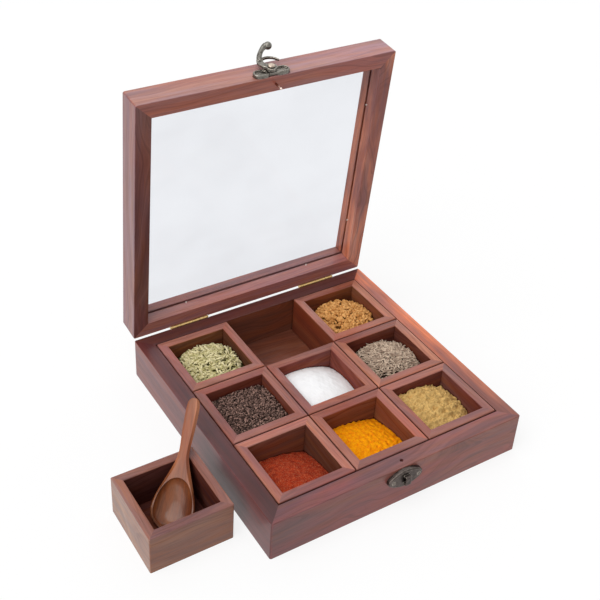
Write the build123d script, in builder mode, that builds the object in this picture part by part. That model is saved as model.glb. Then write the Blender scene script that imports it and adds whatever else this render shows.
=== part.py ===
"""Wooden spice box: a mitred tray with nine loose cups, a glazed lid on two butt hinges,
a horn latch on the front, eight spice fillings and a carved spoon.  Millimetres, +Z up,
origin at the centre of the tray's underside, +X to the right and -Y towards the front."""
import os
from math import asin, atan2, cos, degrees, hypot, radians, sin

from build123d import *

os.makedirs("parts", exist_ok=True)

# ---------------------------------------------------------------- driving dimensions
# Tray: four mitred walls round a thin floor let into a rebate
box_length = 228.6
box_depth = 228.6
tray_height = 36.5
tray_wall = 13.2
tray_floor_thickness = 3.0
tray_rebate = 6.0
panel_clearance = 0.2
outer_corner_radius = 1.6
outer_edge_radius = 0.5

# Lid: four mitred rails grooved for a pane of glass
lid_height = 22.0
lid_rail_width = 13.0
lid_seat_gap = 0.4
lid_open_angle = 84.3
groove_above_rim = 10.8
groove_width = 2.8
groove_depth = 5.0
glass_thickness = 2.2
glass_edge_clearance = 0.5
brad_radius = 0.5
brad_length = 4.5
brad_stand_out = 1.3
brad_spacing = 122.0

# Cups: three rows of three loose cups
cups_per_side = 3
cup_gap = 1.0
cup_wall = 7.3
cup_height = 34.4
cup_floor_thickness = 3.0
cup_rebate = 3.0
cup_corner_radius = 1.0
cup_edge_ease = 0.5
outer_cup_side_gap = 12.5
outer_cup_forward = 50.5

# Butt hinges on the back
hinge_left_inset = 51.9
hinge_right_inset = 47.3
hinge_length = 35.0
knuckle_count = 5
knuckle_gap = 0.25
barrel_radius = 1.5
barrel_offset = 0.75
barrel_relief = 0.3
leaf_thickness = 0.6
leaf_height = 11.5
leaf_corner_radius = 1.2
leaf_barrel_gap = 0.4
hinge_pin_radius = 0.7
pin_running_clearance = 0.05
pin_head_radius = 1.15
pin_head_thickness = 0.6
hinge_screw_spacing = 12.0

# Small countersunk wood screws
screw_head_radius = 1.75
screw_head_depth = 0.9
screw_shank_radius = 0.8
screw_point_radius = 0.2
screw_length = 8.0
screw_hole_clearance = 0.05
screw_slot_width = 0.45
screw_slot_depth = 0.35

# Alignment pin in the lid's front rail and its hole in the tray's front wall
dowel_x = 2.0
dowel_radius = 0.9
dowel_stand_out = 8.5
dowel_embed = 7.0
dowel_hole_radius = 1.45
dowel_hole_end_gap = 1.5
dowel_tip_share = 0.6

# Latch plate on the lid
latch_height_above_rim = 5.6
latch_plate_thickness = 3.0
latch_lobe_drop = 0.9
latch_lobe_radius = 4.5
latch_lobe_stretch = 4.6
latch_screw_spacing = 22.2
latch_bar_height = 6.4
latch_boss_radius = 4.0
latch_boss_step = 0.9
latch_dish_radius = 3.2
latch_dish_stretch = 3.2
latch_dish_depth = 1.1
latch_plate_bevel = 0.5

# Horn-shaped latch arm, rivet and catch plate
arm_gap = 0.3
arm_thickness = 1.8
hub_radius = 4.7
hub_point = ((-0.6, -3.6), 1.9)
rivet_radius = 1.5
rivet_head_radius = 2.9
rivet_head_gap = 0.3
rivet_head_height = 1.3
dome_share = 0.85
horn_inner_radius = 7.2
horn_inner_centre = (3.3, 6.0)
horn_outer_radius = 8.7
horn_outer_centre = (2.9, 6.0)
horn_tip_angle = 11.0
horn_root_angle = -110.0
limb_points = [((0.0, 0.0), 3.4), ((-4.2, 3.8), 2.5), ((-5.0, 8.2), 2.5), ((-3.2, 12.6), 2.4)]
handle_points = [((-4.0, 10.4, 1.3), 1.4), ((-2.1, 15.0, 2.3), 2.1), ((0.9, 18.6, 3.8), 1.9),
                 ((4.2, 21.2, 5.3), 2.1), ((7.4, 22.2, 6.2), 2.8)]
head_centre = (9.0, 21.9, 6.3)
head_radius = 3.2
catch_length = 34.2
catch_height = 16.0
catch_end_radius = 4.0
catch_bevel = 1.1
catch_screw_spacing = 23.0
catch_drop = 14.8
bridge_width = 5.0
bridge_clear_height = 4.8
bridge_leg = 1.5
bridge_strap = 1.2
bridge_edge_radius = 1.0

# Spoon: a tear-shaped bowl and a faceted handle.  Each section is flat on top between two
# shaved edges, and half an ellipse below:
# (distance from the bowl's end, half width, thickness, edge's width, edge's drop)
spoon_sections = [
    (0.0, 1.2, 1.2, 0.3, 0.3),
    (2.5, 8.2, 4.0, 0.6, 0.5),
    (7.0, 13.4, 6.8, 0.7, 0.6),
    (13.5, 16.2, 9.0, 0.8, 0.7),
    (21.0, 15.6, 9.0, 0.9, 0.8),
    (30.0, 12.9, 8.2, 1.4, 1.2),
    (39.0, 9.4, 7.4, 2.1, 1.8),
    (47.0, 6.4, 6.4, 2.2, 2.0),
    (54.0, 4.4, 5.6, 1.8, 1.8),
    (68.0, 4.4, 5.2, 1.7, 1.7),
    (84.0, 5.0, 4.6, 1.8, 1.7),
    (93.0, 4.7, 4.1, 1.7, 1.5),
    (96.8, 3.3, 3.2, 1.3, 1.2),
    (98.0, 1.6, 2.0, 0.7, 0.7),
]
hollow_front_length = 12.6
hollow_back_length = 24.0
hollow_width = 28.8
hollow_depth = 6.4
spoon_end_wall = 2.2
spoon_turn = 48.0
spoon_floor_touch = (3.6, 4.75)
spoon_rim_touch = (54.0, 5.6)
neck_set_in = 1.4
rest_gap = 0.3

# ---------------------------------------------------------------- worked-out sizes
half_length = box_length / 2
half_depth = box_depth / 2
tray_inside_x = box_length - 2 * tray_wall
tray_inside_y = box_depth - 2 * tray_wall
cup_x = (tray_inside_x - (cups_per_side + 1) * cup_gap) / cups_per_side
cup_y = (tray_inside_y - (cups_per_side + 1) * cup_gap) / cups_per_side
pitch_x = cup_x + cup_gap
pitch_y = cup_y + cup_gap
cup_seat_z = tray_floor_thickness
lid_rim_z = tray_height + lid_seat_gap
hinge_centres = (-half_length + hinge_left_inset, half_length - hinge_right_inset)
hinge_y = half_depth + barrel_offset
hinge_z = tray_height + lid_seat_gap / 2
hinge_line = Axis((0, hinge_y, hinge_z), (1, 0, 0))
latch_z = lid_rim_z + latch_height_above_rim
lobe_z = latch_z - latch_lobe_drop
catch_z = latch_z - catch_drop
arm_under = latch_plate_thickness + latch_boss_step + arm_gap
arm_over = arm_under + arm_thickness
catch_thickness = arm_under - arm_gap
front_face = Plane(origin=(0, -half_depth, 0), x_dir=(1, 0, 0), z_dir=(0, -1, 0))


def save(piece, name):
    """Label a finished piece and write its STEP file."""
    piece.label = name
    export_step(piece, f"parts/{name}.step")


def stand_open(piece):
    """Swing a lid piece, drawn with the lid shut, up to the open position."""
    return piece.rotate(hinge_line, -lid_open_angle)


def mitred_quarter(frame, across, along, turn):
    """Cut one side out of a four-sided frame along its two 45 degree mitre planes."""
    half_across, half_along = (across / 2, along / 2) if turn % 2 == 0 else (along / 2, across / 2)
    margin = half_across
    with BuildPart() as quarter:
        add(frame)
        with BuildSketch(Plane.XY.rotated((0, 0, 90 * turn))):
            Polygon((0, half_across - half_along),
                    (-half_across - margin, -half_along - margin),
                    (half_across + margin, -half_along - margin), align=None)
        extrude(amount=across + along, both=True, mode=Mode.INTERSECT)
    return quarter.part


def ring_of_four(frame, across, along):
    """The four mitred sides of a frame: front, right, back and left."""
    return [mitred_quarter(frame, across, along, turn) for turn in range(4)]


# ---------------------------------------------------------------- tray
with BuildPart() as tray_frame:
    Box(box_length, box_depth, tray_height, align=(Align.CENTER, Align.CENTER, Align.MIN))
    fillet(tray_frame.edges().filter_by(Axis.Z), radius=outer_corner_radius)
    fillet(tray_frame.faces().filter_by(Axis.Z).edges(), radius=outer_edge_radius)
    Box(tray_inside_x, tray_inside_y, tray_height,
        align=(Align.CENTER, Align.CENTER, Align.MIN), mode=Mode.SUBTRACT)
    Box(tray_inside_x + 2 * tray_rebate, tray_inside_y + 2 * tray_rebate, tray_floor_thickness,
        align=(Align.CENTER, Align.CENTER, Align.MIN), mode=Mode.SUBTRACT)

tray_front, tray_right, tray_back, tray_left = ring_of_four(tray_frame.part, box_length, box_depth)

with BuildPart() as tray_floor:
    Box(tray_inside_x + 2 * (tray_rebate - panel_clearance),
        tray_inside_y + 2 * (tray_rebate - panel_clearance), tray_floor_thickness,
        align=(Align.CENTER, Align.CENTER, Align.MIN))
save(tray_floor.part, "tray_floor")
save(tray_left, "tray_left_wall")
save(tray_right, "tray_right_wall")


# ---------------------------------------------------------------- screws and their seats
with BuildPart() as screw:
    with Locations((0, 0, -screw_head_depth)):
        Cone(screw_shank_radius, screw_head_radius, screw_head_depth,
             align=(Align.CENTER, Align.CENTER, Align.MIN))
    with Locations((0, 0, -screw_length)):
        Cone(screw_point_radius, screw_shank_radius, screw_length - screw_head_depth,
             align=(Align.CENTER, Align.CENTER, Align.MIN))
    Box(2 * screw_head_radius, screw_slot_width, 2 * screw_slot_depth, mode=Mode.SUBTRACT)

with BuildPart() as screw_seat:
    with Locations((0, 0, -screw_head_depth)):
        Cone(screw_shank_radius + screw_hole_clearance, screw_head_radius + screw_hole_clearance,
             screw_head_depth, align=(Align.CENTER, Align.CENTER, Align.MIN))
    with Locations((0, 0, -screw_length - screw_hole_clearance)):
        Cylinder(screw_shank_radius + screw_hole_clearance, screw_length,
                 align=(Align.CENTER, Align.CENTER, Align.MIN))
    Cylinder(screw_head_radius + screw_hole_clearance, screw_head_depth,
             align=(Align.CENTER, Align.CENTER, Align.MIN))


def outward_seats(xs, y, z, outward):
    """Planes for a row of screw heads on a face that looks along +Y or -Y."""
    return [Plane(origin=(x, y, z), x_dir=(1, 0, 0), z_dir=(0, outward, 0)) for x in xs]


hinge_screw_xs = [centre + side * hinge_screw_spacing / 2
                  for centre in hinge_centres for side in (-1, 1)]
leaf_middle = (leaf_height + barrel_radius + leaf_barrel_gap) / 2
leaf_face_y = half_depth + leaf_thickness
tray_leaf_seats = outward_seats(hinge_screw_xs, leaf_face_y, hinge_z - leaf_middle, 1)
lid_leaf_seats = outward_seats(hinge_screw_xs, leaf_face_y, hinge_z + leaf_middle, 1)
catch_seats = outward_seats((-catch_screw_spacing / 2, catch_screw_spacing / 2),
                            -half_depth - catch_thickness, catch_z, -1)
latch_seats = outward_seats((-latch_screw_spacing / 2, latch_screw_spacing / 2),
                            -half_depth - latch_plate_thickness + latch_dish_depth, lobe_z, -1)

with BuildPart() as tray_leaf_screws:
    with Locations(*tray_leaf_seats):
        add(screw.part)
with BuildPart() as lid_leaf_screws:
    with Locations(*lid_leaf_seats):
        add(screw.part)
with BuildPart() as catch_screws:
    with Locations(*catch_seats):
        add(screw.part)
with BuildPart() as latch_plate_screws:
    with Locations(*latch_seats):
        add(screw.part)
save(tray_leaf_screws.part, "hinge_tray_screws")
save(catch_screws.part, "catch_screws")
save(stand_open(lid_leaf_screws.part), "hinge_lid_screws")
save(stand_open(latch_plate_screws.part), "latch_plate_screws")

# Tray front: pilot holes for the catch and the blind hole that the lid's pin drops into
with BuildPart() as tray_front_wall:
    add(tray_front)
    with Locations(*catch_seats):
        add(screw_seat.part, mode=Mode.SUBTRACT)
    with Locations((dowel_x, -half_depth + lid_rail_width / 2, tray_height)):
        Cylinder(dowel_hole_radius, dowel_stand_out + dowel_hole_end_gap,
                 align=(Align.CENTER, Align.CENTER, Align.MAX), mode=Mode.SUBTRACT)
save(tray_front_wall.part, "tray_front_wall")

# Tray back: pilot holes and the shallow reliefs that clear the hinge barrels
with BuildPart() as barrel_relief_cut:
    for centre in hinge_centres:
        with Locations(Location((centre, hinge_y, hinge_z), (0, 90, 0))):
            Cylinder(barrel_radius + barrel_relief, hinge_length + 2 * pin_head_thickness
                     + 2 * barrel_relief)

with BuildPart() as tray_back_wall:
    add(tray_back)
    add(barrel_relief_cut.part, mode=Mode.SUBTRACT)
    with Locations(*tray_leaf_seats):
        add(screw_seat.part, mode=Mode.SUBTRACT)
save(tray_back_wall.part, "tray_back_wall")


# ---------------------------------------------------------------- lid frame, glass and brads
lid_inside_x = box_length - 2 * lid_rail_width
lid_inside_y = box_depth - 2 * lid_rail_width
groove_z = lid_rim_z + groove_above_rim

with BuildPart() as lid_frame:
    with Locations((0, 0, lid_rim_z)):
        Box(box_length, box_depth, lid_height, align=(Align.CENTER, Align.CENTER, Align.MIN))
    fillet(lid_frame.edges().filter_by(Axis.Z), radius=outer_corner_radius)
    fillet(lid_frame.faces().filter_by(Axis.Z).edges(), radius=outer_edge_radius)
    with Locations((0, 0, lid_rim_z)):
        Box(lid_inside_x, lid_inside_y, lid_height,
            align=(Align.CENTER, Align.CENTER, Align.MIN), mode=Mode.SUBTRACT)
    with Locations((0, 0, groove_z)):
        Box(lid_inside_x + 2 * groove_depth, lid_inside_y + 2 * groove_depth, groove_width,
            align=(Align.CENTER, Align.CENTER, Align.MIN), mode=Mode.SUBTRACT)

lid_front, lid_right, lid_back, lid_left = ring_of_four(lid_frame.part, box_length, box_depth)

with BuildPart() as lid_glass:
    with Locations((0, 0, groove_z + groove_width)):
        Box(lid_inside_x + 2 * (groove_depth - glass_edge_clearance),
            lid_inside_y + 2 * (groove_depth - glass_edge_clearance), glass_thickness,
            align=(Align.CENTER, Align.CENTER, Align.MAX))
save(stand_open(lid_glass.part), "lid_glass")

# Two brads in each rail, just under the groove, stand out and keep the pane from rattling
brad_z = groove_z - 2 * brad_radius
brad_planes = []
for turn in range(4):
    inside = (lid_inside_y if turn % 2 == 0 else lid_inside_x) / 2
    outward = Vector(0, -1, 0).rotate(Axis.Z, 90 * turn)
    along = Vector(1, 0, 0).rotate(Axis.Z, 90 * turn)
    for side in (-1, 1):
        head = outward * (inside - brad_stand_out) + along * (side * brad_spacing / 2)
        brad_planes.append(Plane(origin=(head.X, head.Y, brad_z), z_dir=outward))

with BuildPart() as glass_brads:
    with Locations(*brad_planes):
        Cylinder(brad_radius, brad_length, align=(Align.CENTER, Align.CENTER, Align.MIN))
save(stand_open(glass_brads.part), "glass_brads")

with BuildPart() as brad_holes:
    with Locations(*brad_planes):
        Cylinder(brad_radius + screw_hole_clearance, brad_length + screw_hole_clearance,
                 align=(Align.CENTER, Align.CENTER, Align.MIN))

with BuildPart() as lid_left_rail:
    add(lid_left)
    add(brad_holes.part, mode=Mode.SUBTRACT)
save(stand_open(lid_left_rail.part), "lid_left_rail")

with BuildPart() as lid_right_rail:
    add(lid_right)
    add(brad_holes.part, mode=Mode.SUBTRACT)
save(stand_open(lid_right_rail.part), "lid_right_rail")

with BuildPart() as lid_back_rail:
    add(lid_back)
    add(brad_holes.part, mode=Mode.SUBTRACT)
    add(barrel_relief_cut.part, mode=Mode.SUBTRACT)
    with Locations(*lid_leaf_seats):
        add(screw_seat.part, mode=Mode.SUBTRACT)
save(stand_open(lid_back_rail.part), "lid_back_rail")

with BuildPart() as lid_front_rail:
    add(lid_front)
    add(brad_holes.part, mode=Mode.SUBTRACT)
    with Locations(*latch_seats):
        add(screw_seat.part, mode=Mode.SUBTRACT)
    with Locations((dowel_x, -half_depth + lid_rail_width / 2, lid_rim_z)):
        Cylinder(dowel_radius + screw_hole_clearance, dowel_embed,
                 align=(Align.CENTER, Align.CENTER, Align.MIN), mode=Mode.SUBTRACT)
save(stand_open(lid_front_rail.part), "lid_front_rail")

# The pin that lines the lid up with the tray, with a rounded tip
with BuildPart() as locating_pin:
    with Locations((dowel_x, -half_depth + lid_rail_width / 2, lid_rim_z - dowel_stand_out)):
        Cylinder(dowel_radius, dowel_stand_out + dowel_embed,
                 align=(Align.CENTER, Align.CENTER, Align.MIN))
    fillet(locating_pin.edges().group_by(Axis.Z)[0], radius=dowel_radius * dowel_tip_share)
save(stand_open(locating_pin.part), "locating_pin")


# ---------------------------------------------------------------- butt hinges
knuckle_pitch = hinge_length / knuckle_count


def hinge_leaf(centre, knuckles, upward):
    """A leaf screwed flat on the back face, with its share of the barrel's knuckles."""
    plate_start = barrel_radius + leaf_barrel_gap
    knuckle_width = knuckle_pitch - knuckle_gap
    middles = [centre + (index + 0.5 - knuckle_count / 2) * knuckle_pitch for index in knuckles]
    leaf_y = half_depth + leaf_thickness / 2
    with BuildPart() as leaf:
        with Locations((centre, leaf_y, hinge_z + upward * (plate_start + leaf_height) / 2)):
            Box(hinge_length, leaf_thickness, leaf_height - plate_start)
        far_end = -1 if upward > 0 else 0
        fillet(leaf.edges().filter_by(Axis.Y).group_by(Axis.Z)[far_end], radius=leaf_corner_radius)
        for middle in middles:
            with Locations((middle, leaf_y, hinge_z + upward * plate_start / 2)):
                Box(knuckle_width, leaf_thickness, plate_start)
            with Locations(Location((middle, hinge_y, hinge_z), (0, 90, 0))):
                Cylinder(barrel_radius, knuckle_width)
        with Locations(Location((centre, hinge_y, hinge_z), (0, 90, 0))):
            Cylinder(hinge_pin_radius + pin_running_clearance, 2 * hinge_length,
                     mode=Mode.SUBTRACT)
        seats = outward_seats([centre + side * hinge_screw_spacing / 2 for side in (-1, 1)],
                              leaf_face_y, hinge_z + upward * leaf_middle, 1)
        with Locations(*seats):
            add(screw_seat.part, mode=Mode.SUBTRACT)
    return leaf.part


def hinge_pin(centre):
    """The wire that the knuckles turn on, headed at both ends."""
    with BuildPart() as pin:
        with Locations(Location((centre, hinge_y, hinge_z), (0, 90, 0))):
            Cylinder(hinge_pin_radius, hinge_length)
        ends = [Location((centre + side * (hinge_length + pin_head_thickness) / 2, hinge_y, hinge_z),
                         (0, 90, 0)) for side in (-1, 1)]
        with Locations(*ends):
            Cylinder(pin_head_radius, pin_head_thickness)
    return pin.part


tray_knuckles = range(0, knuckle_count, 2)
lid_knuckles = range(1, knuckle_count, 2)
for side_name, centre in zip(("left", "right"), hinge_centres):
    save(hinge_leaf(centre, tray_knuckles, -1), f"hinge_{side_name}_tray_leaf")
    save(stand_open(hinge_leaf(centre, lid_knuckles, 1)), f"hinge_{side_name}_lid_leaf")
    save(hinge_pin(centre), f"hinge_{side_name}_pin")


# ---------------------------------------------------------------- latch on the lid
hub = (0, latch_z)

lobe_middle = latch_screw_spacing / 2 - latch_lobe_stretch / 2
dish_middle = latch_screw_spacing / 2 - latch_dish_stretch / 2

with BuildPart() as latch_plate:
    with BuildSketch(front_face):
        with Locations(hub):
            Circle(latch_boss_radius)
        with Locations((0, lobe_z)):
            Rectangle(latch_screw_spacing, latch_bar_height)
        with Locations((-lobe_middle, lobe_z), (lobe_middle, lobe_z)):
            SlotCenterToCenter(latch_lobe_stretch, 2 * latch_lobe_radius)
    extrude(amount=latch_plate_thickness)
    chamfer(latch_plate.faces().sort_by(Axis.Y)[0].edges(), length=latch_plate_bevel)
    with BuildSketch(front_face.offset(latch_plate_thickness)):
        with Locations(hub):
            Circle(latch_boss_radius - latch_plate_bevel)
    extrude(amount=latch_boss_step)
    with BuildSketch(front_face.offset(latch_plate_thickness)):
        with Locations((-dish_middle, lobe_z), (dish_middle, lobe_z)):
            SlotCenterToCenter(latch_dish_stretch, 2 * latch_dish_radius)
    extrude(amount=-latch_dish_depth, mode=Mode.SUBTRACT)
    with BuildSketch(front_face):
        with Locations(hub):
            Circle(rivet_radius + screw_hole_clearance)
    extrude(amount=arm_under, mode=Mode.SUBTRACT)
    with Locations(*latch_seats):
        add(screw_seat.part, mode=Mode.SUBTRACT)
save(stand_open(latch_plate.part), "latch_plate")

# The rivet that the arm turns on: a plain shank under a domed head
with BuildPart() as latch_rivet:
    with BuildSketch(front_face):
        with Locations(hub):
            Circle(rivet_radius)
    extrude(amount=arm_over + rivet_head_gap)
    with BuildSketch(front_face.offset(arm_over + rivet_head_gap)):
        with Locations(hub):
            Circle(rivet_head_radius)
    extrude(amount=rivet_head_height)
    fillet(latch_rivet.edges().group_by(Axis.Y)[0], radius=rivet_head_height * dome_share)
save(stand_open(latch_rivet.part), "latch_rivet")


def tapered_bar(start, start_radius, end, end_radius):
    """Add a round-ended bar that tapers between two points to the sketch being built."""
    run_x, run_y = end[0] - start[0], end[1] - start[1]
    run = hypot(run_x, run_y)
    side_x, side_y = -run_y / run, run_x / run
    with Locations(start):
        Circle(start_radius)
    with Locations(end):
        Circle(end_radius)
    Polygon((start[0] + side_x * start_radius, start[1] + side_y * start_radius),
            (start[0] - side_x * start_radius, start[1] - side_y * start_radius),
            (end[0] - side_x * end_radius, end[1] - side_y * end_radius),
            (end[0] + side_x * end_radius, end[1] + side_y * end_radius), align=None)


# The arm swings flat over the plate: a hub, a crescent horn whose point slides under the
# catch's bridge, and a swan-neck handle that rises off the limb and curls to a club head.
arm_plane = Plane(origin=(0, -half_depth - arm_under, latch_z), x_dir=(1, 0, 0), z_dir=(0, -1, 0))
mouth_reach = 3 * horn_outer_radius
mouth_sides = 3
mouth_step = (horn_root_angle - horn_tip_angle) / mouth_sides

with BuildPart() as latch_arm:
    with BuildSketch(arm_plane):
        with Locations(horn_outer_centre):
            Circle(horn_outer_radius)
        with Locations(horn_inner_centre):
            Circle(horn_inner_radius, mode=Mode.SUBTRACT)
        mouth = [horn_inner_centre]
        for side in range(mouth_sides + 1):
            angle = horn_tip_angle + side * mouth_step
            mouth.append((horn_inner_centre[0] + mouth_reach * cos(radians(angle)),
                          horn_inner_centre[1] + mouth_reach * sin(radians(angle))))
        Polygon(*mouth, align=None, mode=Mode.SUBTRACT)
        Circle(hub_radius)
        tapered_bar((0, 0), hub_radius, *hub_point)
        for (start, start_radius), (end, end_radius) in zip(limb_points, limb_points[1:]):
            tapered_bar(start, start_radius, end, end_radius)
    extrude(amount=arm_thickness)
    for index, (point, radius) in enumerate(handle_points):
        before = handle_points[max(index - 1, 0)][0]
        after = handle_points[min(index + 1, len(handle_points) - 1)][0]
        heading = Vector(*after) - Vector(*before)
        section = Plane(origin=point, x_dir=(-heading.Y, heading.X, 0), z_dir=heading)
        with BuildSketch(Plane(arm_plane.location * section.location)):
            Circle(radius)
    loft()
    with Locations(arm_plane.location * Location(head_centre)):
        Sphere(head_radius)
    with BuildSketch(arm_plane):
        Circle(rivet_radius + pin_running_clearance)
    extrude(amount=arm_thickness, mode=Mode.SUBTRACT)
save(stand_open(latch_arm.part), "latch_arm")


# ---------------------------------------------------------------- catch on the tray
catch_plane = Plane(origin=(0, -half_depth, catch_z), x_dir=(1, 0, 0), z_dir=(0, -1, 0))

with BuildPart() as catch_plate:
    with BuildSketch(catch_plane):
        with BuildLine():
            ThreePointArc((-catch_length / 2, 0), (0, catch_height / 2), (catch_length / 2, 0))
            ThreePointArc((catch_length / 2, 0), (0, -catch_height / 2), (-catch_length / 2, 0))
        make_face()
        fillet(vertices(), radius=catch_end_radius)
    extrude(amount=catch_thickness)
    chamfer(catch_plate.faces().sort_by(Axis.Y)[0].edges(), length=catch_bevel)
    with Locations(*catch_seats):
        add(screw_seat.part, mode=Mode.SUBTRACT)
    # A bridge across the middle: the point of the horn slides under it from the right
    bridge_base = catch_plane.offset(catch_thickness - catch_bevel)
    bridge_rise = arm_over + arm_gap + bridge_strap - catch_thickness + catch_bevel
    with BuildSketch(bridge_base):
        Rectangle(bridge_width, bridge_clear_height + 2 * bridge_leg)
    extrude(amount=bridge_rise)
    fillet(catch_plate.faces().sort_by(Axis.Y)[0].edges(), radius=bridge_edge_radius)
    with BuildSketch(catch_plane.offset(catch_thickness)):
        Rectangle(bridge_width + 2 * arm_gap, bridge_clear_height)
    extrude(amount=arm_thickness + 2 * arm_gap, mode=Mode.SUBTRACT)
save(catch_plate.part, "catch_plate")


# ---------------------------------------------------------------- cups
# One cup is drawn round its own centre and copied to each seat
with BuildPart() as cup_frame:
    Box(cup_x, cup_y, cup_height, align=(Align.CENTER, Align.CENTER, Align.MIN))
    fillet(cup_frame.edges().filter_by(Axis.Z), radius=cup_corner_radius)
    Box(cup_x - 2 * cup_wall, cup_y - 2 * cup_wall, cup_height,
        align=(Align.CENTER, Align.CENTER, Align.MIN), mode=Mode.SUBTRACT)
    chamfer(cup_frame.edges().group_by(Axis.Z)[-1], length=cup_edge_ease)
    Box(cup_x - 2 * (cup_wall - cup_rebate), cup_y - 2 * (cup_wall - cup_rebate),
        cup_floor_thickness, align=(Align.CENTER, Align.CENTER, Align.MIN), mode=Mode.SUBTRACT)
cup_sides = ring_of_four(cup_frame.part, cup_x, cup_y)

with BuildPart() as cup_bottom:
    Box(cup_x - 2 * (cup_wall - cup_rebate + panel_clearance),
        cup_y - 2 * (cup_wall - cup_rebate + panel_clearance), cup_floor_thickness,
        align=(Align.CENTER, Align.CENTER, Align.MIN))


def place_cup(name, seat):
    """Write one cup: a ring of four mitred sides, and the bottom let into it."""
    spot = Pos(*seat)
    save(Compound(children=[spot * side for side in cup_sides]), f"cup_{name}_sides")
    save(spot * cup_bottom.part, f"cup_{name}_bottom")


def filling(seat, apex_drop, wall_drop):
    """A heap with a domed top, given how far its apex and its sides lie below the rim."""
    rim = seat[2] + cup_height
    crown = wall_drop - apex_drop
    reach = (cup_x - 2 * cup_wall) / 2
    dome_radius = (reach**2 + crown**2) / (2 * crown)
    with BuildPart() as heap:
        with Locations((seat[0], seat[1], seat[2] + cup_floor_thickness)):
            Box(cup_x - 2 * cup_wall, cup_y - 2 * cup_wall, cup_height - cup_floor_thickness
                - apex_drop, align=(Align.CENTER, Align.CENTER, Align.MIN))
        with Locations((seat[0], seat[1], rim - apex_drop - dome_radius)):
            Sphere(dome_radius, mode=Mode.INTERSECT)
    return heap.part


# (column, row) from the front left, the filling's name, and its apex and side drops
fillings = [
    ("front_left", -1, -1, "chilli_powder", 12.0, 19.0),
    ("front_middle", 0, -1, "turmeric_powder", 6.0, 12.0),
    ("front_right", 1, -1, "coriander_powder", 1.5, 9.0),
    ("middle_left", -1, 0, "mustard_seeds", 4.6, 7.5),
    ("centre", 0, 0, "salt", 4.5, 11.0),
    ("middle_right", 1, 0, "cumin_seeds", 2.5, 9.0),
    ("back_left", -1, 1, "fennel_seeds", 1.5, 9.5),
    ("back_right", 1, 1, "fenugreek_seeds", 2.0, 9.5),
]
for cup_name, column, row, filling_name, apex_drop, wall_drop in fillings:
    cup_seat = (column * pitch_x, row * pitch_y, cup_seat_z)
    place_cup(cup_name, cup_seat)
    save(filling(cup_seat, apex_drop, wall_drop), filling_name)

outer_cup_seat = (-half_length - outer_cup_side_gap - cup_x / 2, -outer_cup_forward, 0)
place_cup("outer", outer_cup_seat)


# ---------------------------------------------------------------- spoon
# Drawn level, bowl end at the origin and handle along +X, with its hollow side up
with BuildPart() as level_spoon:
    for distance, half_width, thickness, edge_width, edge_drop in spoon_sections:
        with BuildSketch(Plane(origin=(distance, 0, 0), x_dir=(0, 1, 0), z_dir=(1, 0, 0))):
            with BuildLine():
                Polyline((-half_width, -edge_drop), (edge_width - half_width, 0),
                         (half_width - edge_width, 0), (half_width, -edge_drop))
                EllipticalCenterArc((0, -edge_drop), half_width, thickness - edge_drop,
                                    start_angle=180, arc_size=180)
            make_face()
    loft()

# The hollow is egg-shaped: short and round towards the bowl's end, long towards the handle
with BuildPart() as unit_ball:
    Sphere(1.0)
hollow_front = scale(split(unit_ball.part, Plane.YZ, keep=Keep.BOTTOM),
                     by=(hollow_front_length, hollow_width / 2, hollow_depth))
hollow_back = scale(split(unit_ball.part, Plane.YZ, keep=Keep.TOP),
                    by=(hollow_back_length, hollow_width / 2, hollow_depth))

with BuildPart() as carved_spoon:
    add(level_spoon.part)
    with Locations((spoon_end_wall + hollow_front_length, 0, 0)):
        add(hollow_front, mode=Mode.SUBTRACT)
        add(hollow_back, mode=Mode.SUBTRACT)

# It stands in the outer cup: the bowl's end on the cup's bottom at the front left, and the
# underside of the neck on the rim at the back right corner
touch_x = spoon_rim_touch[0] - spoon_floor_touch[0]
touch_z = spoon_rim_touch[1] - spoon_floor_touch[1]
touch_rise = cup_height - cup_floor_thickness
tilt = asin(touch_rise / hypot(touch_x, touch_z)) + atan2(touch_z, touch_x)
rim_touch_reach = spoon_rim_touch[0] * cos(tilt) + spoon_rim_touch[1] * sin(tilt)
rim_touch_height = spoon_rim_touch[0] * sin(tilt) - spoon_rim_touch[1] * cos(tilt)
rim_reach = (cup_y / 2 - cup_wall) / sin(radians(spoon_turn)) - neck_set_in
spoon_place = (Pos(outer_cup_seat[0], outer_cup_seat[1],
                   cup_height + rest_gap - rim_touch_height)
               * Rot(0, 0, spoon_turn)
               * Pos(rim_reach - rim_touch_reach, 0, 0)
               * Rot(0, -degrees(tilt), 0))
save(spoon_place * carved_spoon.part, "spoon")
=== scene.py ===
from math import cos, pi, radians, sin

import bpy
import numpy as np
from mathutils import Matrix, Vector


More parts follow.
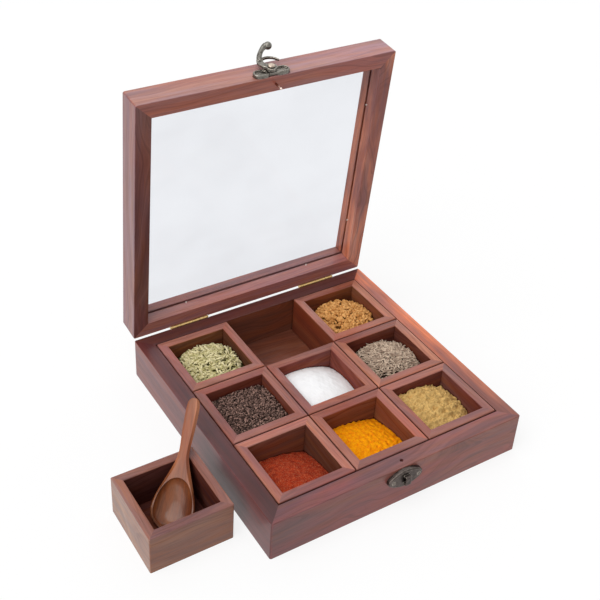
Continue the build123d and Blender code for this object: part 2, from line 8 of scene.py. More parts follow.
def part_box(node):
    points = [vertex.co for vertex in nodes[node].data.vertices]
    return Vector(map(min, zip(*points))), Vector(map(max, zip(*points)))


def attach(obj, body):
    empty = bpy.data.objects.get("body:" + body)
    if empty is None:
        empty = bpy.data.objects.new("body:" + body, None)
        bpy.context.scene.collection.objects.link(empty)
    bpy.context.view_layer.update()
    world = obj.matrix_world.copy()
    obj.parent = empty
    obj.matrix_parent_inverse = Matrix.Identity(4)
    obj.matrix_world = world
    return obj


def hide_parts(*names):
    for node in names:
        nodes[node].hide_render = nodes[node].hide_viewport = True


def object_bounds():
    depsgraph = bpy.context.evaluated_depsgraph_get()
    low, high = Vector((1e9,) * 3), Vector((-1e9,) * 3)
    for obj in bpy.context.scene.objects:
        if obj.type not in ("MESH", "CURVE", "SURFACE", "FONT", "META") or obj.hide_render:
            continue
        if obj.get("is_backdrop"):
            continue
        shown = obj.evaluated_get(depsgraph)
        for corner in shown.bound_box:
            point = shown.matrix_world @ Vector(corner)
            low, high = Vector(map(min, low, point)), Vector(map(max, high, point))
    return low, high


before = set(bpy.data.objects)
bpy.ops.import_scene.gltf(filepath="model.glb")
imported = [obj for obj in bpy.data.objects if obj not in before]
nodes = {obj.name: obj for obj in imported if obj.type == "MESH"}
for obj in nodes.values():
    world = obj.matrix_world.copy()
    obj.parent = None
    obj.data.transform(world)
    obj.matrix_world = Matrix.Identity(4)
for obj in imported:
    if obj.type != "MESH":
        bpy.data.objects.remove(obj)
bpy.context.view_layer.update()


# ---------------------------------------------------------------- tray walls
# Four boards of sheesham, mitred and glued at the corners and oiled to a satin shine.  Each
# board is sawn from its own plank, so its grain runs along its length and its tone is its own.
millimetres = 1000.0


class Shader:
    """A material's node tree with short ways to add nodes; distances in it are millimetres."""

    def __init__(self, name):
        self.material = bpy.data.materials.new(name)
        self.material.use_nodes = True
        self.tree = self.material.node_tree
        self.tree.nodes.clear()
        self.surface = self.tree.nodes.new("ShaderNodeBsdfPrincipled")
        self.output = self.tree.nodes.new("ShaderNodeOutputMaterial")
        self.tone = None
        self.show(self.surface.outputs[0])

    def show(self, closure):
        """Send a closure to the material's output."""
        self.tree.links.new(closure, self.output.inputs[0])

    def put(self, socket, value):
        """Link a socket to another one, or set it."""
        if isinstance(value, bpy.types.NodeSocket):
            self.tree.links.new(value, socket)
        elif value is not None:
            socket.default_value = value

    def finish(self, levels):
        """Put values on the surface's own sockets, by their names."""
        for socket, value in levels.items():
            self.put(self.surface.inputs[socket], value)

    def paint(self, tone):
        """Use a tone as the base colour, and keep it for later steps."""
        self.tone = tone
        self.finish({"Base Color": tone})

    def node(self, kind, *values, **settings):
        made = self.tree.nodes.new("ShaderNode" + kind)
        for key, value in settings.items():
            setattr(made, key, value)
        for socket, value in zip(made.inputs, values):
            self.put(socket, value)
        return made

    def math(self, operation, *values, clamp=False):
        return self.node("Math", *values, operation=operation, use_clamp=clamp).outputs[0]

    def vector(self, operation, first, second=None):
        made = self.node("VectorMath", first, operation=operation)
        if second is not None:
            self.put(made.inputs["Scale" if operation == "SCALE" else 1], second)
        return made.outputs["Value" if operation in ("DOT_PRODUCT", "LENGTH") else "Vector"]

    def place(self):
        """The shaded point in the object's own axes."""
        return self.vector("SCALE", self.node("TexCoord").outputs["Object"], millimetres)

    def noise(self, where, scale, detail=2.0, rough=0.5, kind="3D"):
        """Cloudy noise; scale is how fast it changes in a millimetre."""
        made = self.node("TexNoise", noise_dimensions=kind)
        self.put(made.inputs["W" if kind == "1D" else "Vector"], where)
        made.inputs["Scale"].default_value = scale
        made.inputs["Detail"].default_value = detail
        made.inputs["Roughness"].default_value = rough
        return made.outputs[0]

    def streaks(self, where, along, across, detail, rough=0.5):
        """Noise that is drawn out along x."""
        return self.noise(self.vector("MULTIPLY", where, (along, across, across)), 1.0, detail, rough)

    def ramp(self, value, *stops):
        """A colour for each value, from (position, colour) stops."""
        made = self.node("ValToRGB", value)
        elements = made.color_ramp.elements
        while len(elements) < len(stops):
            elements.new(0.5)
        for element, (position, colour) in zip(elements, stops):
            element.position = position
            element.color = (*colour, 1.0)
        return made.outputs[0]

    def blend(self, share, first, second, how="MIX"):
        """Mix two colours."""
        made = self.node("Mix", data_type="RGBA", blend_type=how)
        for index, value in ((0, share), (6, first), (7, second)):
            if isinstance(value, tuple):
                value = (*value, 1.0)
            self.put(made.inputs[index], value)
        return made.outputs[2]

    def tint(self, colour, by):
        """Multiply two colours."""
        return self.blend(1.0, colour, by, "MULTIPLY")

    def layer(self, share, first, second):
        """Mix two closures."""
        return self.node("MixShader", share, first, second).outputs[0]

    def shelter(self, reach, *stops):
        """A colour for how open the place is within a reach, in metres: 0 shut in, 1 open."""
        found = self.node("AmbientOcclusion", samples=6)
        found.inputs["Distance"].default_value = reach
        return self.ramp(found.outputs["AO"], *stops)

    def bump(self, height, strength, distance, normal=None):
        made = self.node("Bump")
        made.inputs["Strength"].default_value = strength
        made.inputs["Distance"].default_value = distance
        self.put(made.inputs["Height"], height)
        self.put(made.inputs["Normal"], normal)
        return made.outputs[0]


black, plain_white = (0.0, 0.0, 0.0), (1.0, 1.0, 1.0)


def sheesham(name, board, seed, dark, mid, light, blush, pith=(30.0, -22.0), stain=0.6,
             fineness=1.0, wander=26.0):
    """Oiled sheesham.  board(shader, place) gives the place in the board: x along the grain.

    dark, mid and light are the tones of the growth rings and blush that of the stained patches,
    pith is where the heart of the tree lay beside the board, wander how far the rings stray, and
    fineness how much finer than usual the figure is.
    """
    plank_gap = 137.0
    wood = Shader(name)
    spot = wood.vector("SCALE", board(wood, wood.place()), fineness)
    spot = wood.vector("ADD", spot, (seed * plank_gap, 0.0, 0.0))

    # growth rings: shells round the pith, drawn out along the grain and swaying a little
    drift = wood.streaks(spot, 0.006, 0.016, 2.0)
    sway = wood.vector("SCALE", wood.vector("SUBTRACT", drift, (0.5, 0.5, 0.5)), wander)
    rings = wood.vector("ADD", spot, wood.vector("MULTIPLY", sway, (0.0, 1.0, 1.0)))
    rings = wood.vector("MULTIPLY", wood.vector("SUBTRACT", rings, (0.0, *pith)), (0.02, 1.0, 1.0))
    radius = wood.vector("LENGTH", rings)
    bands = wood.noise(radius, 0.12, 3.0, 0.6, "1D")
    fine = wood.noise(radius, 0.8, 2.0, 0.5, "1D")
    figure = wood.math("ADD", wood.math("MULTIPLY", bands, 0.72), wood.math("MULTIPLY", fine, 0.28))
    colour = wood.ramp(figure, (0.30, dark), (0.49, mid), (0.70, light))

    # stained patches, and streaks of a cooler and a warmer hue
    patch = wood.streaks(spot, 0.009, 0.04, 3.0, 0.55)
    flush = wood.ramp(patch, (0.44, black), (0.64, plain_white))
    colour = wood.blend(wood.math("MULTIPLY", flush, stain), colour, blush)
    streak = wood.streaks(spot, 0.016, 0.21, 3.0, 0.6)
    hue = wood.ramp(streak, (0.38, (0.84, 0.90, 0.97)), (0.49, (0.96, 0.95, 0.90)),
                    (0.60, (1.0, 0.90, 0.70)))
    colour = wood.tint(colour, hue)

    # fine dark lines, open pores, and painted shade in the gaps and corners where boards meet
    lines = wood.ramp(fine, (0.57, plain_white), (0.66, (0.74, 0.68, 0.68)))
    colour = wood.tint(colour, lines)
    threads = wood.streaks(spot, 0.05, 1.2, 2.0, 0.6)
    pores = wood.ramp(threads, (0.34, (0.80, 0.76, 0.75)), (0.48, plain_white))
    colour = wood.tint(colour, pores)
    # painted shade: the wood is painted darker where a nearby board shuts it in
    grime_and_shade = wood.shelter(0.0018, (0.28, (0.22, 0.13, 0.13)), (0.72, plain_white))
    wood.paint(wood.tint(colour, grime_and_shade))

    wood.finish({
        "Roughness": wood.math("ADD", wood.math("MULTIPLY", threads, -0.16), 0.50),
        "Specular IOR Level": 0.4,
        "Coat Weight": 0.22,
        "Coat IOR": 1.5,
        "Coat Roughness": 0.16,
        "Normal": wood.bump(threads, 0.22, 0.0001),
    })
    return wood


def plank(origin, along, across):
    """The board's own axes, for a straight board: origin in metres, two directions."""
    along, across = Vector(along).normalized(), Vector(across).normalized()
    through = along.cross(across)

    def board(shader, place):
        start = tuple(millimetres * value for value in origin)
        from_origin = shader.vector("SUBTRACT", place, start)
        parts = [shader.vector("DOT_PRODUCT", from_origin, tuple(axis))
                 for axis in (along, across, through)]
        return shader.node("CombineXYZ", *parts).outputs[0]

    return board


def dress(name, material):
    """Give a CAD node its material."""
    mesh = nodes[name].data
    mesh.materials.clear()
    mesh.materials.append(material)


def saw(name, along, across, seed, *tones, **figure):
    """Cut a straight board's material and put it on its node."""
    low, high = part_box(name)
    wood = sheesham(name + "_wood", plank((low + high) / 2, along, across), seed, *tones, **figure)
    dress(name, wood.material)
    return wood


def fade(shader, direction, start, end, first, last):
    """Let a tone drift between two places along a direction, in millimetres."""
    spot = shader.vector("DOT_PRODUCT", shader.place(), tuple(direction))
    share = shader.math("DIVIDE", shader.math("SUBTRACT", spot, start), end - start, clamp=True)
    shader.paint(shader.tint(shader.tone, shader.blend(share, first, last)))


lengthwise, backwards, upwards = (1, 0, 0), (0, 1, 0), (0, 0, 1)
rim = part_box("tray_front_wall")[1].z * millimetres
left_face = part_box("tray_left_wall")[0].x * millimetres

wall = saw("tray_front_wall", lengthwise, upwards, 1.3, (0.110, 0.036, 0.032),
           (0.225, 0.080, 0.066), (0.290, 0.120, 0.094), (0.350, 0.086, 0.078),
           pith=(9.0, -34.0), stain=0.7, wander=60.0)
fade(wall, lengthwise, -110.0, 40.0, (0.82, 0.84, 0.94), (1.24, 1.16, 1.14))
fade(wall, upwards, rim - 0.7, rim - 0.2, plain_white, (0.80, 0.80, 0.96))

wall = saw("tray_left_wall", backwards, upwards, 2.1, (0.120, 0.038, 0.042), (0.215, 0.072, 0.074),
           (0.310, 0.120, 0.118), (0.280, 0.086, 0.082), pith=(26.0, -44.0))
# painted shadow and reflection of the outer cup: the wall is painted darker towards its front
fade(wall, backwards, -110.0, 90.0, (0.56, 0.33, 0.35), (0.95, 0.95, 0.95))
# painted sheen: the outer left face is kept lighter than the board's rim and inner face
fade(wall, lengthwise, left_face + 0.1, left_face + 0.7, plain_white, (0.53, 0.36, 0.36))

wall = saw("tray_right_wall", backwards, upwards, 3.7, (0.420, 0.095, 0.046),
           (0.780, 0.215, 0.100), (0.860, 0.300, 0.150), (0.300, 0.092, 0.082),
           pith=(18.0, 40.0), stain=0.9)
fade(wall, backwards, -100.0, 30.0, (0.40, 0.40, 0.52), (1.24, 1.20, 1.05))

wall = saw("tray_back_wall", lengthwise, upwards, 4.4, (0.110, 0.033, 0.018),
           (0.220, 0.068, 0.036), (0.320, 0.125, 0.066), (0.280, 0.074, 0.040),
           pith=(22.0, 50.0))
fade(wall, upwards, rim - 0.7, rim - 0.2, plain_white, (0.50, 0.48, 0.82))


# ---------------------------------------------------------------- tray floor
# A thin panel of browner, straight-grained wood, let into the rebate of the walls and glued.
# It shows only in the seat that the lifted cup has left empty.
panel = saw("tray_floor", lengthwise, backwards, 5.9, (0.075, 0.020, 0.010), (0.150, 0.042, 0.022),
            (0.230, 0.075, 0.040), (0.170, 0.040, 0.022), pith=(40.0, -70.0))
# painted light and shade: the seat's floor is painted much lighter towards its front
fade(panel, backwards, 42.0, 80.0, (1.75, 1.75, 1.65), (1.0, 1.05, 1.1))


# ---------------------------------------------------------------- lid rails
# Four shallower boards of the same wood, mitred, glued and grooved for the glass.  The lid
# stands open, so the side rails' grain runs up its slope.
open_angle = radians(84.3)
up_lid = Vector((0.0, -cos(open_angle), sin(open_angle)))

rail = saw("lid_front_rail", lengthwise, up_lid, 6.2, (0.230, 0.085, 0.080), (0.430, 0.185, 0.175),
           (0.530, 0.270, 0.265), (0.480, 0.150, 0.130), pith=(14.0, 36.0))
corners = nodes["lid_front_rail"].data.vertices
outer_face = max(up_lid.dot(corner.co) for corner in corners) * millimetres
# painted sheen: the rail's outer face, which faces up, is kept paler than its other faces
fade(rail, up_lid, outer_face - 0.6, outer_face - 0.2, (0.98, 0.70, 0.54), (0.95, 1.0, 1.0))
fade(rail, lengthwise, -20.0, 60.0, plain_white, (1.0, 1.15, 1.34))

rail = saw("lid_left_rail", up_lid, lengthwise, 7.5, (0.160, 0.066, 0.074), (0.270, 0.120, 0.130),
           (0.400, 0.210, 0.220), (0.350, 0.135, 0.140), pith=(30.0, 40.0))
# painted sheen: the outer left face is kept lighter than the rail's rim and inner faces
fade(rail, lengthwise, left_face + 0.1, left_face + 0.7, plain_white, (0.66, 0.52, 0.44))

saw("lid_right_rail", up_lid, lengthwise, 8.3, (0.150, 0.040, 0.034), (0.640, 0.200, 0.112),
    (0.780, 0.320, 0.215), (0.230, 0.060, 0.060), pith=(16.0, 42.0), stain=0.8, fineness=1.3,
    wander=34.0)
saw("lid_back_rail", lengthwise, up_lid, 9.6, (0.200, 0.074, 0.066), (0.390, 0.160, 0.145),
    (0.500, 0.235, 0.215), (0.450, 0.150, 0.138), pith=(20.0, 30.0))


# ---------------------------------------------------------------- lid glass
# A pane of thin clear float glass, a touch grey in its depth and faintly smeared by wiping.
# It is slid into the rails' groove before the last rail is glued on.
glass = Shader("float_glass")
glass.finish({
    "Base Color": (0.85, 0.865, 0.90, 1.0),
    "Transmission Weight": 1.0,
    "Roughness": 0.0,
    "IOR": 1.12,
})
clear = glass.node("BsdfTransparent", (0.93, 0.94, 0.955, 1.0)).outputs[0]
ray = glass.node("LightPath")
passes = glass.math("MAXIMUM", ray.outputs["Is Shadow Ray"], ray.outputs["Is Diffuse Ray"])
film = glass.layer(passes, glass.surface.outputs[0], clear)
haze = glass.node("BsdfDiffuse", (0.80, 0.82, 0.86, 1.0)).outputs[0]
smears = glass.noise(glass.vector("MULTIPLY", glass.place(), (0.012, 0.012, 0.016)), 1.0, 3.0)
wiped = glass.ramp(smears, (0.40, black), (0.75, plain_white))
haze_share = 0.05
glass.show(glass.layer(glass.math("MULTIPLY", wiped, haze_share), film, haze))
dress("lid_glass", glass.material)


# ---------------------------------------------------------------- hinges, brads and pin
# Folded brass butt hinges on wire pins, screwed on with small brass screws.  Tinned brads hold
# the glass, and a coppered pin driven into the lid lines it up with the tray.
def worn_metal(name, face, deep, rub, rough, grain, tarnish=0.4):
    """Metal that has dulled in its hollows and is rubbed bright along its edges."""
    edge_width = 0.00045
    metal = Shader(name)
    mottle = metal.noise(metal.place(), grain, 4.0, 0.6)
    colour = metal.ramp(mottle, (0.32, deep), (0.58, face))
    soft = metal.node("Bevel", edge_width, samples=6).outputs[0]
    true = metal.node("NewGeometry").outputs["Normal"]
    edges = metal.ramp(metal.vector("DOT_PRODUCT", soft, true), (0.78, plain_white), (0.985, black))
    grime_and_shade = metal.shelter(0.003, (0.45, plain_white), (0.85, black))
    dirt = tuple(0.45 * value for value in deep)
    colour = metal.blend(metal.math("MULTIPLY", grime_and_shade, tarnish), colour, dirt)
    metal.paint(metal.blend(edges, colour, rub))
    metal.finish({
        "Metallic": 1.0,
        "Roughness": metal.math("ADD", metal.math("MULTIPLY", mottle, 0.3), rough - 0.15),
        "Normal": metal.bump(mottle, 0.3, 0.0002, soft),
    })
    return metal


brass = worn_metal("plain_brass", (0.83, 0.58, 0.25), (0.60, 0.38, 0.14), (0.95, 0.74, 0.42),
                   0.30, 0.5)
for name in nodes:
    if name.startswith("hinge_"):
        dress(name, brass.material)

tinned = worn_metal("tinned_brads", (0.95, 0.88, 0.80), (0.80, 0.70, 0.60), (0.98, 0.94, 0.90),
                    0.45, 0.5, tarnish=0.0)
tinned.finish({"Metallic": 0.25})
dress("glass_brads", tinned.material)

copper = worn_metal("copper_pin", (0.95, 0.80, 0.72), (0.70, 0.46, 0.36), (0.98, 0.90, 0.86),
                    0.35, 0.6)
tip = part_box("locating_pin")[0].y * millimetres
# painted reflection: away from its tip the pin is painted dark red-brown, for the wood it mirrors
fade(copper, backwards, tip + 3.0, tip + 5.0, plain_white, (0.34, 0.16, 0.12))
dress("locating_pin", copper.material)


# ---------------------------------------------------------------- latch and catch
# Cast fittings with an antique bronze finish, screwed to the lid and the tray: nearly
# black-brown in the hollows, and worn to a pale grey-gold where hands rub the edges.
bronze = worn_metal("antique_bronze", (0.235, 0.225, 0.20), (0.085, 0.074, 0.062),
                    (0.72, 0.64, 0.54), 0.40, 0.35, tarnish=0.9)
for name in ("latch_plate", "latch_arm", "latch_plate_screws"):
    dress(name, bronze.material)
# a copy of the bronze, darker all over, for the catch and its screws
catch_metal = worn_metal("darker_catch_bronze", (0.120, 0.098, 0.088), (0.050, 0.038, 0.034),
                     (0.62, 0.55, 0.46), 0.44, 0.35, tarnish=0.9)
for name in ("catch_plate", "catch_screws"):
    dress(name, catch_metal.material)
rubbed = worn_metal("rubbed_rivet", (0.56, 0.47, 0.39), (0.36, 0.28, 0.22),
                    (0.78, 0.69, 0.60), 0.38, 0.6, tarnish=0.9)
dress("latch_rivet", rubbed.material)


# ---------------------------------------------------------------- cups
# Each cup is four mitred pieces of sheesham glued round a thin bottom.  They are made from
# offcuts of different planks, so neighbouring sides differ, and the grain turns at each mitre;
# the sides' tones are also partly painted sheen, which differs with the way their grain runs.
def mitred(centre):
    """Board axes for a square cup: the pair of sides that a point belongs to decides them."""
    turned_gap, far_gap = 290.0, 610.0

    def board(shader, place):
        local = shader.vector("SUBTRACT", place, tuple(millimetres * value for value in centre))
        x, y, z = shader.node("SeparateXYZ", local).outputs[:3]
        is_side = shader.math("GREATER_THAN", shader.math("ABSOLUTE", x), shader.math("ABSOLUTE", y))
        is_far = shader.math("GREATER_THAN", shader.math("ADD", x, y), 0.0)
        turned = shader.math("MULTIPLY", is_side, shader.math("SUBTRACT", y, x))
        along = shader.math("ADD", turned, x)
        across = shader.math("SUBTRACT", y, turned)
        shift = shader.math("ADD", shader.math("MULTIPLY", is_side, turned_gap),
                            shader.math("MULTIPLY", is_far, far_gap))
        return shader.node("CombineXYZ", shader.math("ADD", along, shift), z, across).outputs[0]

    return board


hollow_half = 25.8    # half a cup's inner width, in millimetres
# tones of the cup sides: partly the planks' own, partly painted sheen that follows each side's grain
plank_and_sheen_tones = {
    "plum": (0.73, 0.87, 0.94),
    "rosy": (0.94, 1.08, 1.09),
    "tawny": (1.08, 1.18, 1.05),
    "blond": (1.31, 1.60, 1.38),
    "umber": (0.77, 0.74, 0.66),
}


def finish_cup(wood, centre, boards, hollow, shade):
    """Each board has its own plank's tone, and the hollow is left unpolished.

    The tone inside the hollow is painted shade, and shade says how much darker still the
    inner face of the right side is painted, as shade; the boards' tones are partly painted sheen.
    """
    front, back, left, right = (plank_and_sheen_tones[board] for board in boards)
    local = wood.vector("SUBTRACT", wood.place(), tuple(millimetres * value for value in centre))
    x, y = wood.node("SeparateXYZ", local).outputs[:2]
    far_x, far_y = wood.math("ABSOLUTE", x), wood.math("ABSOLUTE", y)
    ends = wood.blend(wood.math("GREATER_THAN", y, 0.0), front, back)
    sides = wood.blend(wood.math("GREATER_THAN", x, 0.0), left, right)
    plank_and_sheen_tone = wood.blend(wood.math("GREATER_THAN", far_x, far_y), ends, sides)
    wood.finish({"Base Color": wood.tint(wood.tone, plank_and_sheen_tone)})
    # painted shade: the hollow's faces are painted darker, and the right inner face darker still
    inside = wood.math("LESS_THAN", wood.math("MAXIMUM", far_x, far_y), hollow_half)
    shaded = tuple(shade * value for value in hollow)
    depth = wood.blend(wood.math("GREATER_THAN", x, far_y), hollow, shaded)
    dull = wood.node("BsdfDiffuse", wood.tint(wood.tone, depth)).outputs[0]
    wood.show(wood.layer(inside, wood.surface.outputs[0], dull))


offcut = ((0.150, 0.041, 0.032), (0.345, 0.106, 0.084), (0.500, 0.195, 0.152), (0.40, 0.084, 0.074))
burr = ((0.060, 0.020, 0.014), (0.300, 0.098, 0.058), (0.440, 0.178, 0.106), (0.15, 0.046, 0.042))
plain = dict(pith=(24.0, -30.0), stain=0.55)
knotty = dict(pith=(9.0, -13.0), stain=0.72, wander=60.0)

# cup: seed, plank tones (partly painted sheen) of the front, back, left and right side, the
# painted shade of the hollow, and how much darker its right inner face is painted
cups = {
    "front_left": (11.1, ("plum", "blond", "rosy", "blond"), (0.72, 0.86, 0.68), 0.55),
    "front_middle": (12.7, ("plum", "umber", "tawny", "tawny"), (0.72, 0.86, 0.54), 0.86),
    "front_right": (13.2, ("plum", "tawny", "rosy", "plum"), (0.56, 0.58, 0.56), 0.90),
    "middle_left": (14.9, ("rosy", "umber", "rosy", "rosy"), (0.55, 0.55, 0.50), 0.90),
    "centre": (15.4, ("tawny", "umber", "rosy", "tawny"), (0.66, 0.64, 0.66), 1.0),
    "middle_right": (16.8, ("blond", "umber", "blond", "blond"), (0.50, 0.50, 0.46), 0.90),
    "back_left": (17.3, ("blond", "tawny", "rosy", "tawny"), (0.62, 0.78, 0.50), 0.75),
    "back_right": (18.6, ("tawny", "umber", "tawny", "blond"), (0.72, 0.82, 0.48), 1.0),
    "outer": (19.5, ("rosy", "rosy", "rosy", "rosy"), (0.46, 0.42, 0.52), 0.85),
}
# painted sheen on the outer cup's left face; painted shade on the back right cup's, in the seat
left_face_sheen_and_shade = {"outer": (1.06, 1.24, 1.4), "back_right": (0.47, 0.31, 0.18)}
for cup, (seed, boards, hollow, shade) in cups.items():
    low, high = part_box(f"cup_{cup}_sides")
    centre = (low + high) / 2
    tones, figure = (burr, knotty) if cup == "outer" else (offcut, plain)
    wood = sheesham(f"cup_{cup}_wood", mitred(centre), seed, *tones, **figure)
    if cup == "outer":
        top = high.z * millimetres
        fade(wood, upwards, top - 0.6, top - 0.2, plain_white, (1.0, 0.98, 1.2))
    if cup in left_face_sheen_and_shade:
        near = low.x * millimetres
        fade(wood, lengthwise, near + 0.2, near + 0.6, left_face_sheen_and_shade[cup], plain_white)
    finish_cup(wood, centre, boards, hollow, shade)
    dress(f"cup_{cup}_sides", wood.material)
    dress(f"cup_{cup}_bottom", wood.material)


# ---------------------------------------------------------------- heaps of powder
# Ground spices and salt are spooned in, and settle in a soft heap with small lumps and its
# crown off the middle.  Each is a closed skin that stands against the cup's sides.
def settle(name, points, faces, cup):
    """Make a smooth piece that rides in its cup."""
    mesh = bpy.data.meshes.new(name)
    mesh.from_pydata(points, [], faces)
    mesh.polygons.foreach_set("use_smooth", [True] * len(mesh.polygons))
    piece = bpy.data.objects.new(name, mesh)
    bpy.context.scene.collection.objects.link(piece)
    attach(piece, "cup_" + cup)
    return piece


def closed_heap(name, cup, node, height_at, cells=96):
    """A heap in a cup: a fine grid for its top, four sides and a bottom."""
    low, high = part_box(node)
    gap, least = 0.00005, 0.0005
    along_x = np.linspace(low.x + gap, high.x - gap, cells)
    along_y = np.linspace(low.y + gap, high.y - gap, cells)
    x, y = np.meshgrid(along_x, along_y, indexing="ij")
    z = height_at(x - (low.x + high.x) / 2, y - (low.y + high.y) / 2, high.z)
    z = np.clip(z, low.z + least, high.z)
    top = np.stack([x, y, z], -1).reshape(-1, 3)
    index = np.arange(cells * cells).reshape(cells, cells)
    quads = np.stack([index[:-1, :-1], index[1:, :-1], index[1:, 1:], index[:-1, 1:]], -1)
    faces = [tuple(map(int, quad)) for quad in quads.reshape(-1, 4)]
    edge = [*index[:-1, 0], *index[-1, :-1], *index[:0:-1, -1], *index[0, :0:-1]]
    foot = [(float(top[corner][0]), float(top[corner][1]), low.z) for corner in edge]
    first, count = len(top), len(edge)
    for here in range(count):
        after = (here + 1) % count
        faces.append((int(edge[here]), first + here, first + after, int(edge[after])))
    faces.append(tuple(range(first + count - 1, first - 1, -1)))
    piece = settle(name, [tuple(map(float, point)) for point in top] + foot, faces, cup)
    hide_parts(node)
    return piece


def lumps(x, y, seed, size, octaves=4):
    """Smooth random ground, from about -1 to 1: sums of sines in random directions."""
    waves, usual_peak = 9, 4.0
    rng = np.random.default_rng(seed)
    total, weight, amount = np.zeros_like(x), 0.0, 1.0
    for octave in range(octaves):
        layer = np.zeros_like(x)
        for _ in range(waves):
            turn, phase = rng.uniform(0, 2 * pi, 2)
            wave = 2 * pi / (size * rng.uniform(0.75, 1.35)) * 2**octave
            layer += np.sin((x * cos(turn) + y * sin(turn)) * wave + phase)
        total += amount * layer / usual_peak
        weight += amount
        amount *= 0.5
    return total / weight


heap_half = 0.0257


def dome(x, y, crown, drop, lean=(0.0, 0.0)):
    """A heap that falls by drop from its crown to the cup's sides, with its crown at lean."""
    away = ((x - lean[0])**2 + (y - lean[1])**2) / heap_half**2
    return crown - drop * away


def powder(name, colour, shade, speck, grit=2.2, specks=0.6, relief=0.9):
    """Fine powder: matt, with tiny lumps and specks."""
    dust = Shader(name)
    spot = dust.place()
    clump = dust.noise(spot, 0.35, 4.0, 0.65)
    grains = dust.noise(spot, grit, 2.0, 0.6)
    tone = dust.ramp(clump, (0.36, shade), (0.60, colour))
    flecks = dust.ramp(grains, (0.34, plain_white), (0.42, black))
    dust.paint(dust.blend(dust.math("MULTIPLY", flecks, specks), tone, speck))
    height = dust.math("ADD", clump, dust.math("MULTIPLY", grains, 0.5))
    dust.finish({
        "Roughness": 0.95,
        "Specular IOR Level": 0.15,
        "Normal": dust.bump(height, relief, 0.0006),
    })
    return dust


# filling: cup, how far it is sunk, fall to the sides, where its crown leans to, height and size
# of its lumps, and its colour, shade and specks; lengths in metres
powders = {
    "chilli_powder": ("front_left", 0.0, 0.0036, (-0.0128, -0.0128), 0.0006, 0.008,
                      (0.42, 0.040, 0.010), (0.25, 0.016, 0.005), (0.85, 0.40, 0.20)),
    "turmeric_powder": ("front_middle", 0.0028, 0.0032, (-0.013, -0.013), 0.0009, 0.006,
                        (1.0, 0.40, 0.0), (0.86, 0.23, 0.0), (0.66, 0.13, 0.0)),
    "coriander_powder": ("front_right", 0.0, 0.0062, (-0.007, 0.006), 0.0026, 0.0058,
                         (0.73, 0.475, 0.175), (0.54, 0.34, 0.115), (0.26, 0.16, 0.05)),
    "salt": ("centre", 0.0, 0.0050, (-0.0105, -0.001), 0.0003, 0.010,
             (0.98, 0.98, 0.98), (0.96, 0.96, 0.97), (0.98, 0.98, 0.98)),
}
for number, (node, (cup, sunk, drop, lean, rough, size, *colours)) in enumerate(powders.items()):

    def lumpy_dome(x, y, top):
        """The filling's ground, with room for its lumps under the heap's highest point."""
        crown = top - sunk - 1.2 * rough
        return dome(x, y, crown, drop, lean) + lumps(x, y, number + 40, size) * rough

    heap = closed_heap(node + "_heap", cup, node, lumpy_dome)
    if node == "salt":
        dust = powder(node + "_dust", *colours, relief=0.25)
        dust.finish({"Specular IOR Level": 0.6, "Roughness": 0.6})
    else:
        dust = powder(node + "_dust", *colours)
    heap.data.materials.append(dust.material)


# ---------------------------------------------------------------- heaps of seeds
# Whole seeds are shaped one by one and dropped, a few deep, on a bed painted dark as the shade
# down among the seeds, so that the top shows real seeds lying every way with shadow between them.
def seed_form(length, width, depth, rings=6, sides=7, blunt=0.0, bend=0.0, ribs=0.0):
    """Points and faces of one seed: a spindle along x, round or blunt at its ends."""
    tip_share = 0.05
    points, faces = [], []
    for ring in range(rings + 1):
        reach = -1 + 2 * ring / rings
        swell = max((1 - abs(reach)**(2.0 + 4.0 * blunt))**0.5, tip_share)
        for side in range(sides):
            turn = 2 * pi * side / sides
            rib = 1.0 + ribs * (1 if side % 2 else -1)
            points.append((reach * length / 2, swell * rib * cos(turn) * width / 2,
                           swell * rib * sin(turn) * depth / 2 + bend * (1 - reach * reach)))
    for ring in range(rings):
        for side in range(sides):
            here, beside = ring * sides + side, ring * sides + (side + 1) % sides
            faces.append((here, beside, beside + sides, here + sides))
    faces.append(tuple(range(sides - 1, -1, -1)))
    faces.append(tuple(rings * sides + side for side in range(sides)))
    return np.array(points), faces


def pour(name, cup, node, form, count, drop, spill, seed, tilt):
    """Scatter seeds over the heap's dome, and join them into one piece."""
    below_top, clear_of_top = 0.0013, 0.0001
    rng = np.random.default_rng(seed)
    low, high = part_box(node)
    centre = (low + high) / 2
    points, faces = form
    reach = (high.x - low.x) / 2 - 0.75 * float(np.abs(points).max())
    made, skins = [], []
    for index in range(count):
        while True:
            x, y = rng.uniform(-reach, reach, 2)
            if x * x + y * y < spill * spill:
                break
        heading, lift, roll = rng.uniform(0, 2 * pi), rng.normal(0, tilt), rng.uniform(0, 2 * pi)
        turn = (Matrix.Rotation(heading, 3, "Z") @ Matrix.Rotation(lift, 3, "Y")
                @ Matrix.Rotation(roll, 3, "X"))
        body = points @ np.array(turn).T * rng.uniform(0.82, 1.12)
        height = dome(x, y, high.z - below_top, drop) + rng.uniform(-0.0016, 0.0007)
        body = body + np.array((centre.x + x, centre.y + y, height))
        body[:, 2] = np.minimum(body[:, 2], high.z - clear_of_top)
        start = index * len(points)
        made.append(body)
        skins.extend(tuple(start + corner for corner in face) for face in faces)
    every_point = [tuple(map(float, point)) for point in np.concatenate(made)]
    return settle(name, every_point, skins, cup)


def seed_coat(name, pale, deep, line, rare):
    """The skin of a seed: each has a tone of its own, with fine lines.  rare above 1 makes
    the pale ones fewer."""
    coat = Shader(name)
    own = coat.node("NewGeometry").outputs["Random Per Island"]
    fine = coat.noise(coat.place(), 1.6, 3.0, 0.6)
    tone = coat.blend(coat.math("POWER", own, rare), deep, pale)
    marks = coat.ramp(fine, (0.38, plain_white), (0.55, black))
    coat.paint(coat.blend(coat.math("MULTIPLY", marks, 0.35), tone, line))
    coat.finish({
        "Roughness": 0.5,
        "Specular IOR Level": 0.2,
        "Normal": coat.bump(fine, 0.5, 0.0003),
    })
    return coat


